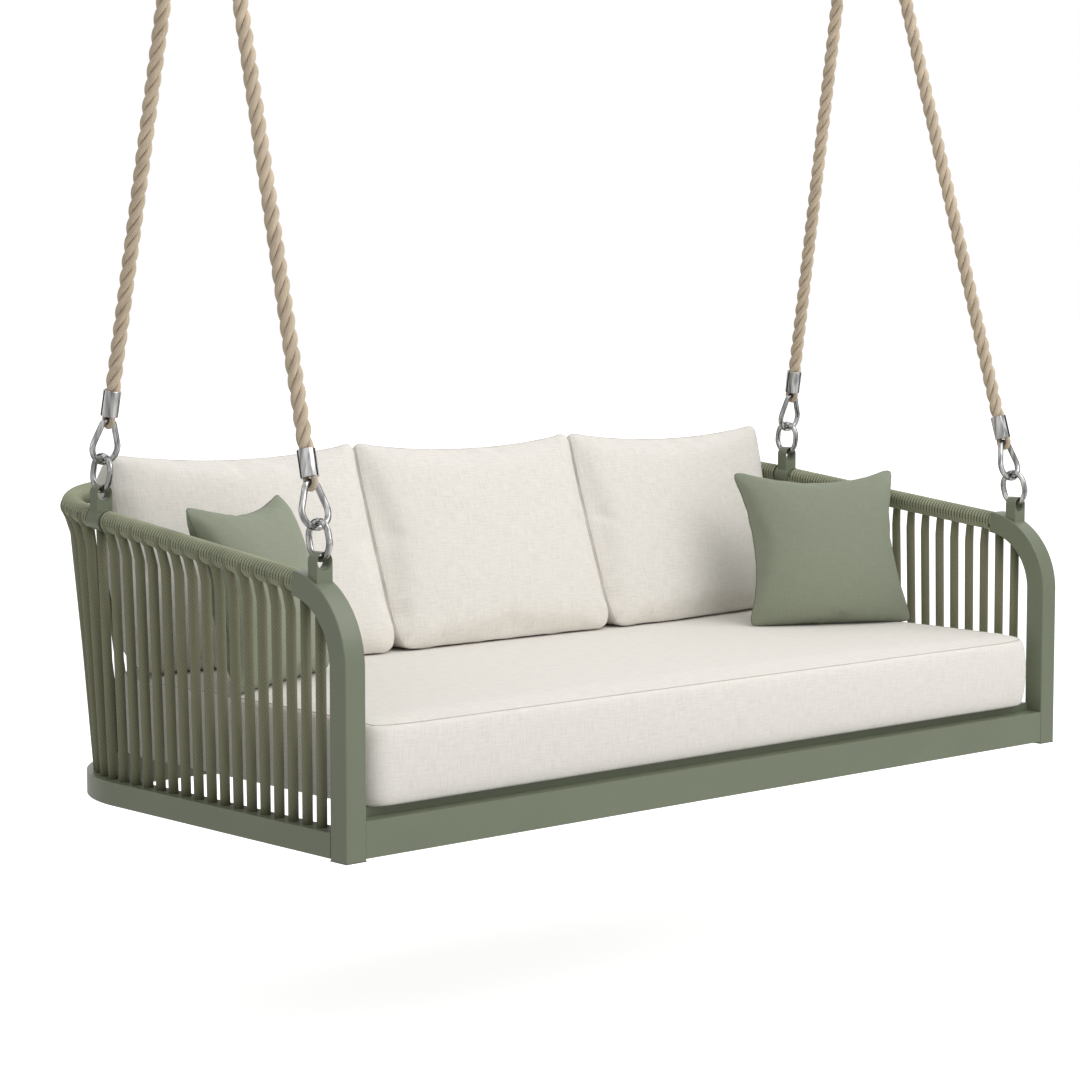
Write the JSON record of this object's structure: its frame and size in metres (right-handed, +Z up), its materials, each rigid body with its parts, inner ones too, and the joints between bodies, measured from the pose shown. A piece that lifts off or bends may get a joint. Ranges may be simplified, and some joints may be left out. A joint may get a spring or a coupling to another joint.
{
  "type": "hanging sofa",
  "caption": "Hanging sofa with a bent tube frame, cord infill, wrapped arm rail, loose cushions and rope suspension from two ceiling hangers.",
  "frame": {"origin": "on the ceiling plane, midway between the two ceiling plates", "axes": "+X to the right seen from the front, +Y to the back of the sofa, +Z up"},
  "size_m": [2.1188, 1.172, 2.3835],
  "materials": {
    "frame_coat": "satin",
    "green_cord": "matte",
    "linen": "matte",
    "green_weave": "matte",
    "rope": "matte",
    "steel": "polished",
    "bush_bronze": "satin",
    "plug_plastic": "matte"
  },
  "bodies": {
    "ceiling_hangers": {"ceiling_plate_left": "steel", "ceiling_plate_right": "steel", "hanger_pin_left": "steel", "hanger_pin_right": "steel", "hanger_nuts": "steel"},
    "swing_frame": {"base_front_rail": "frame_coat", "base_back_rail": "frame_coat", "base_side_rail_left": "frame_coat", "base_side_rail_right": "frame_coat", "base_corner_left": "frame_coat", "base_corner_right": "frame_coat", "seat_cross_beam": "frame_coat", "seat_slats": "frame_coat", "front_post_left": "frame_coat", "front_post_right": "frame_coat", "rail_tube": "frame_coat", "front_lugs": "frame_coat", "rear_lugs": "frame_coat", "arm_wrap_left": "green_cord", "arm_wrap_right": "green_cord", "corner_wrap_left": "green_cord", "corner_wrap_right": "green_cord", "back_wrap": "green_cord", "infill_cords_side_left": "green_cord", "infill_cords_side_right": "green_cord", "infill_cords_corner_left": "green_cord", "infill_cords_corner_right": "green_cord", "infill_cords_back": "green_cord", "rope_front_left": "rope", "rope_front_right": "rope", "rope_rear_left": "rope", "rope_rear_right": "rope", "lower_rope_eyes": "rope", "upper_rope_eyes": "rope", "lower_ferrule_front_left": "steel", "lower_ferrule_front_right": "steel", "lower_ferrule_rear_left": "steel", "lower_ferrule_rear_right": "steel", "upper_ferrule_front_left": "steel", "upper_ferrule_front_right": "steel", "upper_ferrule_rear_left": "steel", "upper_ferrule_rear_right": "steel", "oval_links_left": "steel", "oval_links_right": "steel", "pear_links_left": "steel", "pear_links_right": "steel", "top_ring_left": "steel", "top_ring_right": "steel", "swing_eye_left": "steel", "swing_eye_right": "steel", "swing_eye_bushes": "bush_bronze", "post_end_plugs": "plug_plastic"},
    "seat_cushion": {"seat_cushion": "linen"},
    "back_cushion_left": {"back_cushion_left": "linen"},
    "back_cushion_middle": {"back_cushion_middle": "linen"},
    "back_cushion_right": {"back_cushion_right": "linen"},
    "throw_pillow_left": {"throw_pillow_left": "green_weave"},
    "throw_pillow_right": {"throw_pillow_right": "green_weave"}
  },
  "joints": [
    {"name": "swing", "type": "hinge", "parent": "ceiling_hangers", "child": "swing_frame", "pos_m": [0, 0, -0.042], "axis": [1, 0, 0], "range_deg": [-20, 20]},
    {"name": "seat_cushion_lift", "type": "slide", "parent": "swing_frame", "child": "seat_cushion", "axis": [0, -0.4104, 0.9119], "range_m": [0, 0.2]},
    {"name": "back_cushion_left_lift", "type": "slide", "parent": "seat_cushion", "child": "back_cushion_left", "axis": [0, -0.17, 0.9854], "range_m": [0, 0.16]},
    {"name": "back_cushion_middle_lift", "type": "slide", "parent": "seat_cushion", "child": "back_cushion_middle", "axis": [0, -0.17, 0.9854], "range_m": [0, 0.16]},
    {"name": "back_cushion_right_lift", "type": "slide", "parent": "seat_cushion", "child": "back_cushion_right", "axis": [0, -0.17, 0.9854], "range_m": [0, 0.16]},
    {"name": "throw_pillow_left_lift", "type": "slide", "parent": "seat_cushion", "child": "throw_pillow_left", "axis": [0, -0.2588, 0.9659], "range_m": [0, 0.3]},
    {"name": "throw_pillow_right_lift", "type": "slide", "parent": "seat_cushion", "child": "throw_pillow_right", "axis": [0, -0.2588, 0.9659], "range_m": [0, 0.3]}
  ]
}
